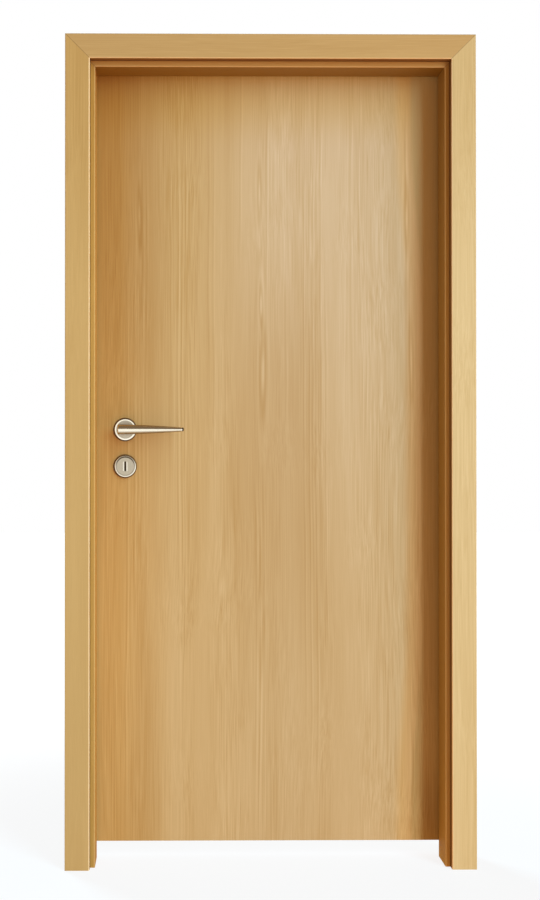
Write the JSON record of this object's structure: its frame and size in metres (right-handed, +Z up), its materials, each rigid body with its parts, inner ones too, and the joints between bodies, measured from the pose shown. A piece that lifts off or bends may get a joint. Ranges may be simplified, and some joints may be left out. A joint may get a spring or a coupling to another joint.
{
  "type": "interior door with frame",
  "caption": "Flush veneered interior door, rebated leaf in a mitred casing frame, with round-rose lever handles and a keyhole escutcheon.",
  "frame": {"origin": "on the wall face of the hinge-side lining, at floor level, in the middle of the wall's thickness", "axes": "+X from the opening into the wall at the hinge side, +Y through the wall towards the side that the leaf opens to, +Z up"},
  "size_m": [1, 0.2123, 2.03],
  "materials": {
    "frame_veneer": "clear satin varnish on oak-coloured veneer, grain along each piece",
    "leaf_veneer": "clear satin varnish on oak-coloured veneer, upright grain",
    "leaf_filling": "raw chipboard and softwood",
    "seal_rubber": "matt brown",
    "hinge_metal": "satin nickel",
    "lock_steel": "satin nickel on steel",
    "satin_metal": "satin nickel with polished rims",
    "polished_metal": "polished"
  },
  "bodies": {
    "frame": {"lining_hinge_side": "frame_veneer", "lining_lock_side": "frame_veneer", "lining_head": "frame_veneer", "front_architrave_hinge_side": "frame_veneer", "front_architrave_lock_side": "frame_veneer", "front_architrave_head": "frame_veneer", "back_architrave_hinge_side": "frame_veneer", "back_architrave_lock_side": "frame_veneer", "back_architrave_head": "frame_veneer", "seal_hinge_side": "seal_rubber", "seal_lock_side": "seal_rubber", "seal_head": "seal_rubber", "strike_plate": "lock_steel", "hinge_upper_frame_knuckle": "hinge_metal", "hinge_upper_pin": "hinge_metal", "hinge_lower_frame_knuckle": "hinge_metal", "hinge_lower_pin": "hinge_metal"},
    "leaf": {"leaf_skin_front": "leaf_veneer", "leaf_skin_back": "leaf_veneer", "leaf_core": "leaf_filling", "leaf_stile_lock_side": "leaf_filling", "leaf_stile_hinge_side": "leaf_filling", "leaf_rail_top": "leaf_filling", "leaf_rail_bottom": "leaf_filling", "leaf_lock_block": "leaf_filling", "leaf_lipping_hinge_side": "leaf_veneer", "leaf_lipping_lock_side": "leaf_veneer", "leaf_lipping_top": "leaf_veneer", "lock_case": "lock_steel", "lock_faceplate": "lock_steel", "latch_bolt": "lock_steel", "dead_bolt": "lock_steel", "front_rose": "satin_metal", "back_rose": "satin_metal", "front_escutcheon": "satin_metal", "back_escutcheon": "satin_metal", "hinge_upper_leaf_knuckle": "hinge_metal", "hinge_lower_leaf_knuckle": "hinge_metal"},
    "handle": {"front_lever": "satin_metal", "back_lever": "satin_metal", "front_lever_cap": "polished_metal", "back_lever_cap": "polished_metal", "spindle": "lock_steel", "lock_hub": "lock_steel"}
  },
  "joints": [
    {"name": "leaf_swing", "type": "hinge", "parent": "frame", "child": "leaf", "pos_m": [0.001, 0.0805, 1.729], "axis": [0, 0, -1], "range_deg": [0, 170]},
    {"name": "handle_turn", "type": "hinge", "parent": "leaf", "child": "handle", "pos_m": [-0.815, 0.068, 1.068], "axis": [0, 1, 0], "range_deg": [0, 40], "stiffness_Nm_per_rad": 1.5, "springref_deg": -28.65}
  ]
}
